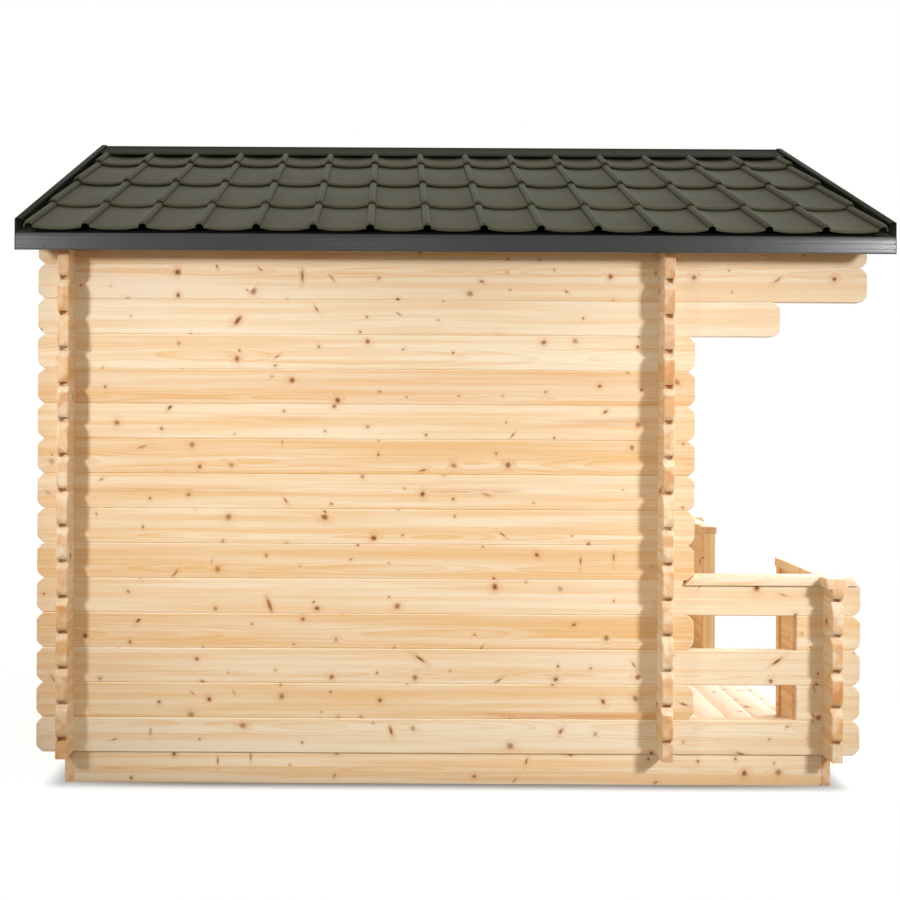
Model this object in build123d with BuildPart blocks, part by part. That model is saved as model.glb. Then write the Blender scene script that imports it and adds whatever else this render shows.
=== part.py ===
from build123d import *
import math
import os

os.makedirs("parts", exist_ok=True)

# Outdoor sauna cabin of notched logs, with a railed porch and a metal tile roof.
# +X points from the sauna to the porch, +Z up, and the ground is Z = 0.
# Left and right are as seen by someone who stands on the porch and faces the door.

# Logs
course = 135.0
log_thickness = 44.0
log_overrun = 100.0
end_chamfer = 26.0

# Plan
cabin_width = 2340.0
sauna_length = 2258.0
porch_depth = 600.0
eave_log_overrun = 120.0
console_reach = 427.0
wall_courses = 14

# Base frame and floors
base_height = 120.0
base_inset = 10.0
joist_count = 5
floor_thickness = 19.0

# Porch rails
rail_courses = 5
corner_stub_length = 248.0
rail_width = 553.0
cap_seat_depth = 17.0
cap_width = 89.0
cap_thickness = 38.0
cap_end_bevel = 25.0
cap_setback = 12.0
cap_clearance = 0.5
post_width = 64.0
post_thickness = 38.0

# Door
doorway_width = 780.0
doorway_courses = 13
door_frame_thickness = 40.0
door_frame_depth = 80.0
door_gap = 4.0
door_leaf_thickness = 40.0
door_stile_width = 110.0
door_bottom_rail_height = 180.0
threshold_height = 30.0
glass_thickness = 8.0
glass_clearance = 0.3
handle_length = 320.0
handle_height = 1050.0
handle_width = 30.0
handle_standoff = 35.0
handle_inset = 40.0
hinge_count = 3
hinge_radius = 8.0
hinge_length = 90.0
hinge_clearance = 0.2

# Roof
roof_pitch = 22.0
verge_overhang = 35.0
eave_reach = 190.0
ridge_beam_thickness = 44.0
purlin_offset = 610.0
purlin_thickness = 44.0
roof_board_thickness = 19.0
batten_width = 48.0
batten_thickness = 32.0
batten_edge = 54.0
tile_courses = 4
tile_step = 350.0
tile_lip = 22.0
tile_base = 10.0
roll_pitch = 211.6
roll_width = 44.0
roll_height = 24.0
fascia_thickness = 4.0
fascia_drop = 8.0
verge_thickness = 3.0
verge_flange = 25.0
verge_tray = 72.0
verge_rise = 36.0
verge_drop = 10.0
verge_gap = 1.0
ridge_wing = 140.0
ridge_cap_thickness = 5.0
ridge_cap_clearance = 0.3

# Wall lines across the cabin
half_log = course / 2
notch = course / 4
side_outer = cabin_width / 2
side_inner = side_outer - log_thickness
cross_end = side_outer + log_overrun

# Wall lines along the cabin, from the rear log ends to the eave log ends
rear_depth = log_overrun + log_thickness
log_length = rear_depth + sauna_length + porch_depth + 2 * log_thickness + eave_log_overrun
rear_end = -log_length / 2
rear_outer = rear_end + log_overrun
rear_inner = rear_outer + log_thickness
front_inner = rear_inner + sauna_length
front_outer = front_inner + log_thickness
porch_inner = front_outer + porch_depth
porch_outer = porch_inner + log_thickness
wall_log_end = front_outer + log_overrun
console_end = front_outer + console_reach
rail_end = porch_outer + log_overrun
eave_log_end = porch_outer + eave_log_overrun
roof_half = log_length / 2 + verge_overhang
sheet_half = roof_half - verge_thickness
tile_half = roof_half - verge_tray

# Heights
wall_top = base_height + wall_courses * course
eave_top = wall_top + course
long_log_top = base_height + rail_courses * course
rail_top_height = long_log_top - cap_seat_depth
rail_cap_top = rail_top_height + cap_thickness
door_sill = base_height + half_log
door_head = door_sill + doorway_courses * course
floor_top = base_height + floor_thickness

# Roof lines
slope_rise = math.tan(math.radians(roof_pitch))
slope_cos = math.cos(math.radians(roof_pitch))
slope_sin = math.sin(math.radians(roof_pitch))
eave_line = side_outer + eave_reach
slope_length = eave_line / slope_cos
tile_seat = roof_board_thickness + batten_thickness
roll_count = int(2 * tile_half // roll_pitch)
verge_top = tile_seat + tile_lip + verge_rise
roof_sides = {"left": -1, "right": 1}


def under_roof(offset):
    """Height of the roof boards' underside at a distance from the ridge line."""
    return eave_top + (side_inner - offset) * slope_rise


def side_bottom(number):
    """Underside of a side log, counted from 1 at the base."""
    return base_height + (number - 1) * course


def cross_bottom(number):
    """Underside of a cross log. Number 0 is the half log on the base."""
    return base_height if number == 0 else base_height + half_log + (number - 1) * course


def cross_top(number):
    """Top of a cross log."""
    return cross_bottom(number + 1)


def log_outline(start, end, bottom, top, crossings, cut_ends=(True, True), notch_bottom=True):
    """Side view of a log: chamfered where an end stands free, notched where it crosses others."""
    near = end_chamfer if cut_ends[0] else 0
    far = end_chamfer if cut_ends[1] else 0
    points = [(start + near, bottom)]
    for place in crossings if notch_bottom else ():
        points += [
            (place, bottom),
            (place, bottom + notch),
            (place + log_thickness, bottom + notch),
            (place + log_thickness, bottom),
        ]
    points.append((end - far, bottom))
    if far:
        points += [(end, bottom + far), (end, top - far)]
    points.append((end - far, top))
    for place in reversed(crossings):
        points += [
            (place + log_thickness, top),
            (place + log_thickness, top - notch),
            (place, top - notch),
            (place, top),
        ]
    points.append((start + near, top))
    if near:
        points += [(start, top - near), (start, bottom + near)]
    return points


def add_prism(plane, points, depth, mode=Mode.ADD):
    """Adds the outline, or takes it away, over a depth from the plane."""
    with BuildSketch(plane) as outline:
        with BuildLine():
            Polyline(*points, close=True)
        make_face()
    extrude(outline.sketch, amount=depth, mode=mode)


def add_block(x_range, y_range, z_range, mode=Mode.ADD):
    """Adds a square-edged block, or takes it away."""
    low, high = y_range
    corners = [(low, z_range[0]), (high, z_range[0]), (high, z_range[1]), (low, z_range[1])]
    add_prism(Plane.YZ.offset(x_range[0]), corners, x_range[1] - x_range[0], mode)


def side_plane(side):
    """Plane of a side wall's face with the higher Y. The wall lies below it."""
    return Plane.XZ.offset(side_inner if side < 0 else -side_outer)


def side_wall_y(side):
    """Y range of a side wall."""
    return (-side_outer, -side_inner) if side < 0 else (side_inner, side_outer)


def mirrored(side, low, high):
    """Y range on one side, from distances off the middle."""
    return (-high, -low) if side < 0 else (low, high)


def keep_under_roof():
    """Trims what stands above the underside of the roof boards."""
    reach = eave_line
    outline = [
        (-reach, 0),
        (reach, 0),
        (reach, under_roof(reach)),
        (0, under_roof(0)),
        (-reach, under_roof(reach)),
    ]
    add_prism(Plane.YZ.offset(-roof_half), outline, 2 * roof_half, Mode.INTERSECT)


def finish_part(builder, name):
    """Labels a finished piece and writes it."""
    builder.part.label = name
    export_step(builder.part, f"parts/{name}.step")


# Base frame: planks on edge under the walls, a little back from the log faces

cross_beam_starts = [rear_outer + base_inset, front_inner, porch_inner]
beam_thickness = log_thickness - base_inset

with BuildPart() as base_side_beams:
    for side in roof_sides.values():
        add_block(
            (rear_inner, porch_inner),
            mirrored(side, side_inner, side_outer - base_inset),
            (0, base_height),
        )
finish_part(base_side_beams, "base_side_beams")

with BuildPart() as base_cross_beams:
    for number, start in enumerate(cross_beam_starts):
        reach = side_inner if number == 1 else side_outer - base_inset
        add_block((start, start + beam_thickness), (-reach, reach), (0, base_height))
finish_part(base_cross_beams, "base_cross_beams")

joist_reach = side_inner - beam_thickness / 2
joist_pitch = 2 * joist_reach / (joist_count - 1)
joist_spans = {
    "sauna_joists": (rear_inner, front_inner),
    "porch_joists": (front_inner + beam_thickness, porch_inner),
}
for name, span in joist_spans.items():
    with BuildPart() as joists:
        for number in range(joist_count):
            middle = number * joist_pitch - joist_reach
            across = (middle - beam_thickness / 2, middle + beam_thickness / 2)
            add_block(span, across, (0, base_height))
    finish_part(joists, name)

# Floors: boards laid across the joists. The porch floor runs out through the entrance.

entrance_half = side_outer - rail_width

with BuildPart() as sauna_floor:
    add_block((rear_inner, front_inner), (-side_inner, side_inner), (base_height, floor_top))
finish_part(sauna_floor, "sauna_floor")

with BuildPart() as porch_floor:
    add_block((front_outer, porch_inner), (-side_inner, side_inner), (base_height, floor_top))
    add_block((porch_inner, porch_outer), (-entrance_half, entrance_half), (base_height, floor_top))
finish_part(porch_floor, "porch_floor")

# Side walls: full logs, each notched half a course out of step with the cross walls

wall_crossings = [rear_outer, front_inner]
long_crossings = [rear_outer, front_inner, porch_inner]
cap_start = wall_log_end - end_chamfer + rail_cap_top - long_log_top + cap_clearance
cap_seat_start = cap_start - cap_thickness
top_log_number = wall_courses + 1
console_number = wall_courses - 1


def add_side_log(side, number):
    """One side log at its course."""
    bottom = side_bottom(number)
    end, crossings = wall_log_end, wall_crossings
    if number <= rail_courses and number % 2 == 1:
        end, crossings = rail_end, long_crossings
    if number == console_number:
        end = console_end
    if number > console_number:
        end = eave_log_end
    outline = log_outline(rear_end, end, bottom, bottom + course, crossings)
    add_prism(side_plane(side), outline, log_thickness)


for side_name, side in roof_sides.items():
    with BuildPart() as odd_logs:
        for number in range(1, wall_courses + 1, 2):
            add_side_log(side, number)
        add_block(
            (cap_seat_start, rail_end),
            side_wall_y(side),
            (rail_top_height, long_log_top),
            Mode.SUBTRACT,
        )
    finish_part(odd_logs, f"{side_name}_wall_odd_logs")

    with BuildPart() as even_logs:
        for number in range(2, wall_courses + 1, 2):
            add_side_log(side, number)
    finish_part(even_logs, f"{side_name}_wall_even_logs")

    with BuildPart() as top_log:
        add_side_log(side, top_log_number)
        keep_under_roof()
    finish_part(top_log, f"{side_name}_top_log")

    with BuildPart() as corner_stubs:
        for number in range(2, rail_courses, 2):
            bottom = side_bottom(number)
            outline = log_outline(
                rail_end - corner_stub_length,
                rail_end,
                bottom,
                bottom + course,
                [porch_inner],
                (False, True),
            )
            add_prism(side_plane(side), outline, log_thickness)
    finish_part(corner_stubs, f"{side_name}_corner_stubs")

# Cross walls: a half log on the base, then full logs up into the gable

cross_crossings = [-side_outer, side_inner]
gable_logs = math.ceil((under_roof(0) - door_sill) / course)
purlin_bottom = cross_bottom(wall_courses + 2)
ridge_beam_bottom = cross_bottom(gable_logs)
ridge_half = ridge_beam_thickness / 2
purlin_inner = purlin_offset - purlin_thickness / 2
purlin_outer = purlin_offset + purlin_thickness / 2


def add_cross_log(start, number):
    """One whole log of a cross wall, from corner to corner."""
    crossings = cross_crossings if number <= wall_courses + 1 else []
    outline = log_outline(
        -cross_end,
        cross_end,
        cross_bottom(number),
        cross_top(number),
        crossings,
        (number > 0, number > 0),
        number > 0,
    )
    add_prism(Plane.YZ.offset(start), outline, log_thickness)


def cut_purlin_seats(start):
    """Cuts the places where the ridge beam and the purlins pass through a gable."""
    along = (start, start + log_thickness)
    peak = under_roof(0)
    add_block(along, (-ridge_half, ridge_half), (ridge_beam_bottom, peak), Mode.SUBTRACT)
    for side in roof_sides.values():
        across = mirrored(side, purlin_inner, purlin_outer)
        add_block(along, across, (purlin_bottom, peak), Mode.SUBTRACT)


for wall_name, start in {"rear_wall": rear_outer, "front_wall": front_inner}.items():
    for parity, first in {"even": 0, "odd": 1}.items():
        with BuildPart() as cross_logs:
            for number in range(first, gable_logs + 1, 2):
                add_cross_log(start, number)
            keep_under_roof()
            cut_purlin_seats(start)
            if wall_name == "front_wall":
                add_block(
                    (start, start + log_thickness),
                    (-doorway_width / 2, doorway_width / 2),
                    (door_sill, door_head),
                    Mode.SUBTRACT,
                )
        finish_part(cross_logs, f"{wall_name}_{parity}_logs")

# Porch front: short log rails either side of the entrance, an upright on each end, and caps

post_middle = (porch_inner + porch_outer) / 2
cap_side_middle = (side_inner + side_outer) / 2
lap_height = rail_top_height + cap_thickness / 2
cap_end = rail_end - cap_setback

for side_name, side in roof_sides.items():
    for parity, first in {"even": 0, "odd": 1}.items():
        with BuildPart() as rail_logs:
            for number in range(first, rail_courses + 1, 2):
                top = min(cross_top(number), rail_top_height)
                free = number > 0
                ends = (free, False) if side < 0 else (False, free)
                span = mirrored(side, entrance_half + post_thickness, cross_end)
                crossing = [side_wall_y(side)[0]]
                outline = log_outline(
                    *span, cross_bottom(number), cross_top(number), crossing, ends, free
                )
                add_prism(Plane.YZ.offset(porch_inner), outline, log_thickness)
            add_block(
                (porch_inner, porch_outer),
                mirrored(side, entrance_half, cross_end),
                (rail_top_height, long_log_top + course),
                Mode.SUBTRACT,
            )
        finish_part(rail_logs, f"{side_name}_rail_{parity}_logs")

    with BuildPart() as end_post:
        add_block(
            (post_middle - post_width / 2, post_middle + post_width / 2),
            mirrored(side, entrance_half, entrance_half + post_thickness),
            (floor_top, rail_top_height),
        )
    finish_part(end_post, f"{side_name}_rail_end_post")

    with BuildPart() as side_cap:
        outline = [
            (cap_seat_start, rail_top_height),
            (cap_end, rail_top_height),
            (cap_end - cap_end_bevel, rail_cap_top),
            (cap_start, rail_cap_top),
        ]
        middle = side * cap_side_middle
        add_prism(Plane.XZ.offset(-middle - cap_width / 2), outline, cap_width)
        add_block(
            (post_middle - cap_width / 2, post_middle + cap_width / 2),
            (middle - cap_width / 2, middle + cap_width / 2),
            (lap_height, rail_cap_top),
            Mode.SUBTRACT,
        )
    finish_part(side_cap, f"{side_name}_side_cap")

    with BuildPart() as front_cap:
        add_block(
            (post_middle - cap_width / 2, post_middle + cap_width / 2),
            mirrored(side, entrance_half - cap_setback, cross_end),
            (rail_top_height, rail_cap_top),
        )
        add_block(
            (post_middle - cap_width / 2, post_middle + cap_width / 2),
            (middle - cap_width / 2, middle + cap_width / 2),
            (rail_top_height, lap_height),
            Mode.SUBTRACT,
        )
    finish_part(front_cap, f"{side_name}_front_cap")

# Door: a board frame that lines the doorway, and a glazed leaf

wall_middle = (front_inner + front_outer) / 2
frame_outer = wall_middle + door_frame_depth / 2
frame_inner = wall_middle - door_frame_depth / 2
frame_half = doorway_width / 2
jamb_face = frame_half - door_frame_thickness
leaf_half = jamb_face - door_gap
leaf_bottom = door_sill + threshold_height + door_gap
leaf_top = door_head - door_frame_thickness - door_gap
leaf_back = frame_outer - door_leaf_thickness
light_half = leaf_half - door_stile_width
light_bottom = leaf_bottom + door_bottom_rail_height
light_top = leaf_top - door_stile_width

with BuildPart() as door_frame:
    add_block((frame_inner, frame_outer), (-frame_half, frame_half), (door_sill, door_head))
    add_block(
        (frame_inner, frame_outer),
        (-jamb_face, jamb_face),
        (door_sill, door_head - door_frame_thickness),
        Mode.SUBTRACT,
    )
finish_part(door_frame, "door_frame")

with BuildPart() as door_threshold:
    add_block(
        (frame_inner, frame_outer),
        (-jamb_face, jamb_face),
        (door_sill, door_sill + threshold_height),
    )
finish_part(door_threshold, "door_threshold")

with BuildPart() as door_leaf:
    add_block((leaf_back, frame_outer), (-leaf_half, leaf_half), (leaf_bottom, leaf_top))
    add_block(
        (leaf_back, frame_outer),
        (-light_half, light_half),
        (light_bottom, light_top),
        Mode.SUBTRACT,
    )
finish_part(door_leaf, "door_leaf")

glass_back = leaf_back + (door_leaf_thickness - glass_thickness) / 2

with BuildPart() as door_glass:
    add_block(
        (glass_back, glass_back + glass_thickness),
        (glass_clearance - light_half, light_half - glass_clearance),
        (light_bottom + glass_clearance, light_top - glass_clearance),
    )
finish_part(door_glass, "door_glass")

handle_far = leaf_half - handle_inset
handle_near = handle_far - handle_width
handle_low = handle_height - handle_length / 2
handle_high = handle_height + handle_length / 2

with BuildPart() as door_handle:
    add_block(
        (frame_outer + handle_standoff, frame_outer + handle_standoff + handle_width),
        (handle_near, handle_far),
        (handle_low, handle_high),
    )
    for foot in (handle_low + handle_width, handle_high - 2 * handle_width):
        add_block(
            (frame_outer, frame_outer + handle_standoff),
            (handle_near, handle_far),
            (foot, foot + handle_width),
        )
finish_part(door_handle, "door_handle")

hinge_pitch = (leaf_top - leaf_bottom) / hinge_count
hinge_line = -(leaf_half + jamb_face) / 2

with BuildPart() as door_hinges:
    for number in range(hinge_count):
        bottom = leaf_bottom + (number + 0.5) * hinge_pitch - hinge_length / 2
        with BuildSketch(Plane.XY.offset(bottom)):
            with Locations((frame_outer + hinge_radius + hinge_clearance, hinge_line)):
                Circle(hinge_radius)
        extrude(amount=hinge_length)
finish_part(door_hinges, "door_hinges")

# Roof timbers: a ridge beam and two purlins that run from end to end through the gables

with BuildPart() as ridge_beam:
    add_block(
        (rear_end, eave_log_end),
        (-ridge_half, ridge_half),
        (ridge_beam_bottom, under_roof(0)),
    )
    keep_under_roof()
finish_part(ridge_beam, "ridge_beam")

with BuildPart() as purlins:
    for side in roof_sides.values():
        add_block(
            (rear_end, eave_log_end),
            mirrored(side, purlin_inner, purlin_outer),
            (purlin_bottom, under_roof(0)),
        )
    keep_under_roof()
finish_part(purlins, "purlins")

# Roof covering: boards, battens, tile sheets, verge trims, eave fascias and ridge cap

def layer_outline(side, inner, outer, low, high):
    """Section of a layer on one slope, cut upright at both ends."""
    return [
        (side * inner, under_roof(inner) + low / slope_cos),
        (side * outer, under_roof(outer) + low / slope_cos),
        (side * outer, under_roof(outer) + high / slope_cos),
        (side * inner, under_roof(inner) + high / slope_cos),
    ]


def slope_point(side, run, rise):
    """Point at a distance up the slope from the eave, and a height square to the slope."""
    across = eave_line - run * slope_cos + rise * slope_sin
    return (side * across, under_roof(eave_line) + run * slope_sin + rise * slope_cos)


def tile_height(offset):
    """Height of the topmost tile course over the battens, square to the slope."""
    front = eave_line - (tile_courses - 1) * tile_step * slope_cos
    return tile_base + (tile_lip - tile_base) * offset / front


def tile_outline(side, raised):
    """Section of a tile sheet: each course falls from its front lip to the next one."""
    lip, back_edge = (raised + height for height in (tile_lip, tile_base))
    base = tile_seat / slope_cos
    points = [(0, under_roof(0) + base), (side * eave_line, under_roof(eave_line) + base)]
    for number in range(tile_courses):
        front = eave_line - number * tile_step * slope_cos
        back = front - tile_step * slope_cos if number < tile_courses - 1 else 0
        points.append((side * front, under_roof(front) + base + lip / slope_cos))
        points.append((side * back, under_roof(back) + base + back_edge / slope_cos))
    return points


for side_name, side in roof_sides.items():
    with BuildPart() as roof_boards:
        outline = layer_outline(side, 0, eave_line - fascia_thickness, 0, roof_board_thickness)
        add_prism(Plane.YZ.offset(-sheet_half), outline, 2 * sheet_half)
    finish_part(roof_boards, f"{side_name}_roof_boards")

    with BuildPart() as tile_sheet:
        add_prism(Plane.YZ.offset(-tile_half), tile_outline(side, 0), 2 * tile_half)
        for number in range(roll_count):
            middle = (number - (roll_count - 1) / 2) * roll_pitch
            start = Plane.YZ.offset(middle - roll_width / 2)
            add_prism(start, tile_outline(side, roll_height), roll_width)
    finish_part(tile_sheet, f"{side_name}_tile_sheet")

    with BuildPart() as eave_fascia:
        add_block(
            (-sheet_half, sheet_half),
            mirrored(side, eave_line - fascia_thickness, eave_line),
            (
                under_roof(eave_line) - fascia_drop,
                under_roof(eave_line) + tile_seat / slope_cos,
            ),
        )
    finish_part(eave_fascia, f"{side_name}_eave_fascia")

batten_rows = [batten_edge + number * tile_step for number in range(tile_courses)]
batten_rows.append(slope_length - batten_edge)

with BuildPart() as roof_battens:
    for side in roof_sides.values():
        for row in batten_rows:
            low, high = row - batten_width / 2, row + batten_width / 2
            outline = [
                slope_point(side, low, roof_board_thickness),
                slope_point(side, high, roof_board_thickness),
                slope_point(side, high, tile_seat),
                slope_point(side, low, tile_seat),
            ]
            add_prism(Plane.YZ.offset(-sheet_half), outline, 2 * sheet_half)
finish_part(roof_battens, "roof_battens")

for end_name, face in {"rear": -roof_half, "front": sheet_half}.items():
    with BuildPart() as verge_trims:
        for side in roof_sides.values():
            plate = layer_outline(side, verge_gap / 2, eave_line, -verge_drop, verge_top)
            add_prism(Plane.YZ.offset(face), plate, verge_thickness)
            flange = layer_outline(
                side, verge_gap / 2, eave_line, verge_top - verge_thickness, verge_top
            )
            start = face if face < 0 else roof_half - verge_flange
            add_prism(Plane.YZ.offset(start), flange, verge_flange)
            tray = layer_outline(
                side, verge_gap / 2, eave_line, tile_seat, tile_seat + verge_thickness
            )
            start = face if face < 0 else tile_half
            add_prism(Plane.YZ.offset(start), tray, verge_tray)
    finish_part(verge_trims, f"{end_name}_verge_trims")

wing_reach = ridge_wing * slope_cos
cap_low = tile_seat + tile_height(wing_reach) + roll_height + ridge_cap_clearance
cap_high = cap_low + ridge_cap_thickness
cap_half_length = roof_half - verge_flange

with BuildPart() as ridge_cap:
    for side in roof_sides.values():
        wing = layer_outline(side, 0, wing_reach, cap_low, cap_high)
        add_prism(Plane.YZ.offset(-cap_half_length), wing, 2 * cap_half_length)
finish_part(ridge_cap, "ridge_cap")
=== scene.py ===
import math
import random
from functools import partial

import bmesh
import bpy
from mathutils import Matrix, Vector


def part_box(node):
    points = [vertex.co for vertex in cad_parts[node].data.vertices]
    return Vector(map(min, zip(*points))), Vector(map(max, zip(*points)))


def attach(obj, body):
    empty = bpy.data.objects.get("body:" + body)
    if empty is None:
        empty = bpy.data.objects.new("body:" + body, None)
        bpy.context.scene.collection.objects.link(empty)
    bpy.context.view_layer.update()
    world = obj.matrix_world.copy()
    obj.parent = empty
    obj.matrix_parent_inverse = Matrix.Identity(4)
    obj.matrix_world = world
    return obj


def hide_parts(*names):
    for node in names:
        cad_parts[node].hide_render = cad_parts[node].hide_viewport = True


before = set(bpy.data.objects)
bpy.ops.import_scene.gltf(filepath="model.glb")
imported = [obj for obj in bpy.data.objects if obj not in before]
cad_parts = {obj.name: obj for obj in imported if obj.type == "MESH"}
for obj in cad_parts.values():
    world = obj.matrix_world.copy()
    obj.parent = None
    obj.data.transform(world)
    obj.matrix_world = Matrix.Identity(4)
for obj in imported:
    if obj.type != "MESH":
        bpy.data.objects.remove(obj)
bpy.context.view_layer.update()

# Base frame of spruce planks on edge under the walls, with joists for the two floors.
# Planed square timber with lightly eased edges, butted at the corners and screwed.


def pick(piece):
    """Selects one piece alone."""
    bpy.ops.object.select_all(action="DESELECT")
    piece.select_set(True)
    bpy.context.view_layer.objects.active = piece


def add_timber(low, high):
    """Adds a squared timber between two corners."""
    bpy.ops.object.select_all(action="DESELECT")
    middle = [(a + b) / 2 for a, b in zip(low, high)]
    size = [b - a for a, b in zip(low, high)]
    bpy.ops.mesh.primitive_cube_add(size=1, location=middle, scale=size)
    bpy.ops.object.transform_apply(location=True, rotation=True, scale=True)
    return bpy.context.object


def open_piece(piece, kind, wanted):
    """Opens a piece in edit mode with the edges or faces selected whose corners pass the test."""
    pick(piece)
    bpy.ops.object.mode_set(mode="EDIT")
    bpy.ops.mesh.select_mode(type=kind)
    bpy.ops.mesh.select_all(action="DESELECT")
    mesh = bmesh.from_edit_mesh(piece.data)
    for part in mesh.edges if kind == "EDGE" else mesh.faces:
        part.select_set(wanted([corner.co for corner in part.verts]))
    mesh.select_flush_mode()
    bmesh.update_edit_mesh(piece.data)


def close_piece():
    bpy.ops.object.mode_set(mode="OBJECT")


def any_part(corners):
    return True


def ease_edges(piece, offset, wanted=any_part, segments=2):
    """Rounds the wanted edges, or chamfers them with one segment."""
    open_piece(piece, "EDGE", wanted)
    bpy.ops.mesh.bevel(offset=offset, segments=segments, affect="EDGES")
    close_piece()


def smooth_piece(piece, degrees=28):
    """Shades soft edges smooth and leaves corners crisp."""
    pick(piece)
    bpy.ops.object.shade_smooth_by_angle(angle=math.radians(degrees))


def join_pieces(name, pieces):
    """Joins like pieces to one mesh."""
    bpy.ops.object.select_all(action="DESELECT")
    for piece in pieces:
        piece.select_set(True)
    bpy.context.view_layer.objects.active = pieces[0]
    if len(pieces) > 1:
        bpy.ops.object.join()
    pieces[0].name = name
    pieces[0].data.name = name
    return pieces[0]


tree = random.Random(11)
trunk_length = 60
pith_reach = 0.05
# Painted highlight: faces whose normals slope upwards within these limits get a tone lower by this much, so
# they come out paler, as if lit from above.
highlight_paling = 0.9
highlight_slope_from = 0.3
highlight_slope_to = 0.95
# On rail caps the painted highlight reaches the level tops too.
level_tops_highlighted = 1.1
tone_step = 0.05


def mark_grain(timber, along, tone=None, highlight_to=highlight_slope_to):
    """Gives a timber its own place in a tree, with the grain along one axis, its cut ends marked and its
    upward faces painted paler as a painted highlight.
    """
    mesh = timber.data
    axes = (0, 1, 2)
    middle = [sum(v.co[axis] for v in mesh.vertices) / len(mesh.vertices) for axis in axes]
    reach = [max(v.co[axis] for v in mesh.vertices) - middle[axis] for axis in axes]
    across, up = sorted([axis for axis in axes if axis != along], key=lambda axis: reach[axis])
    pith = (tree.uniform(-pith_reach, pith_reach), tree.uniform(-pith_reach, pith_reach))
    start = tree.uniform(0, trunk_length)
    places = []
    for v in mesh.vertices:
        from_pith = (v.co[across] - middle[across] + pith[0], v.co[up] - middle[up] + pith[1])
        places.extend((v.co[along] + start, *from_pith))
    grain = mesh.attributes.new("grain", "FLOAT_VECTOR", "POINT")
    grain.data.foreach_set("vector", places)
    own_tone = tree.random()
    if tone is not None:
        own_tone = tone
    tones_and_highlights = mesh.attributes.new("tone", "FLOAT", "FACE")
    # Upward-sloping faces are painted paler here, a painted highlight where light from above falls on them.
    painted_highlights = [highlight_paling * (highlight_slope_from < f.normal.z < highlight_to) for f in mesh.polygons]
    tones_and_highlights.data.foreach_set("value", [own_tone - paler for paler in painted_highlights])
    cut_ends = mesh.attributes.new("cut_end", "FLOAT", "FACE")
    cut_ends.data.foreach_set("value", [max(0, abs(f.normal[along]) * 2 - 1) for f in mesh.polygons])


def feed(node, inputs):
    """Links a node's inputs from other nodes' outputs, or sets them to plain values."""
    for place, value in inputs.items():
        if isinstance(value, bpy.types.NodeSocket):
            node.id_data.links.new(value, node.inputs[place])
        else:
            node.inputs[place].default_value = value


def add_node(nodes, kind, inputs=None, **settings):
    """Adds a shader node with its settings and inputs, and gives its outputs."""
    node = nodes.new("ShaderNode" + kind)
    for setting, value in settings.items():
        setattr(node, setting, value)
    feed(node, inputs or {})
    return node.outputs


def maths(nodes, operation, *terms, clamp=False):
    inputs = dict(enumerate(terms))
    return add_node(nodes, "Math", inputs, operation=operation, use_clamp=clamp)[0]


def smooth_rise(nodes, value, low, high, start=0.0, end=1.0):
    """Goes smoothly from the start to the end value while the given value goes from low to high."""
    span = {"Value": value, "From Min": low, "From Max": high, "To Min": start, "To Max": end}
    return add_node(nodes, "MapRange", span, interpolation_type="SMOOTHSTEP")["Result"]


def start_pattern(name, inputs):
    """Starts a node group that gives a colour, a roughness and a height from its named inputs."""
    group = bpy.data.node_groups.new(name, "ShaderNodeTree")
    outputs = {"Color": "Color", "Roughness": "Float", "Height": "Float"}
    for direction, labels in (("INPUT", inputs), ("OUTPUT", outputs)):
        for label, kind in labels.items():
            group.interface.new_socket(label, in_out=direction, socket_type="NodeSocket" + kind)
    return group, group.nodes.new("NodeGroupInput").outputs, group.nodes.new("NodeGroupOutput")


def start_material(name):
    """Starts a material and gives its nodes and its shader too."""
    material = bpy.data.materials.new(name)
    material.use_nodes = True
    nodes = material.node_tree.nodes
    return material, nodes, nodes["Principled BSDF"]


def place_pattern(nodes, shader, pattern, inputs, depth, strength):
    """Places a pattern in a material, with its height as a shallow relief."""
    placed = add_node(nodes, "Group", inputs, node_tree=pattern)
    relief = {"Distance": depth, "Strength": strength, "Height": placed["Height"]}
    relief = add_node(nodes, "Bump", relief)["Normal"]
    feed(shader, {"Base Color": placed["Color"], "Roughness": placed["Roughness"], "Normal": relief})


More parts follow.
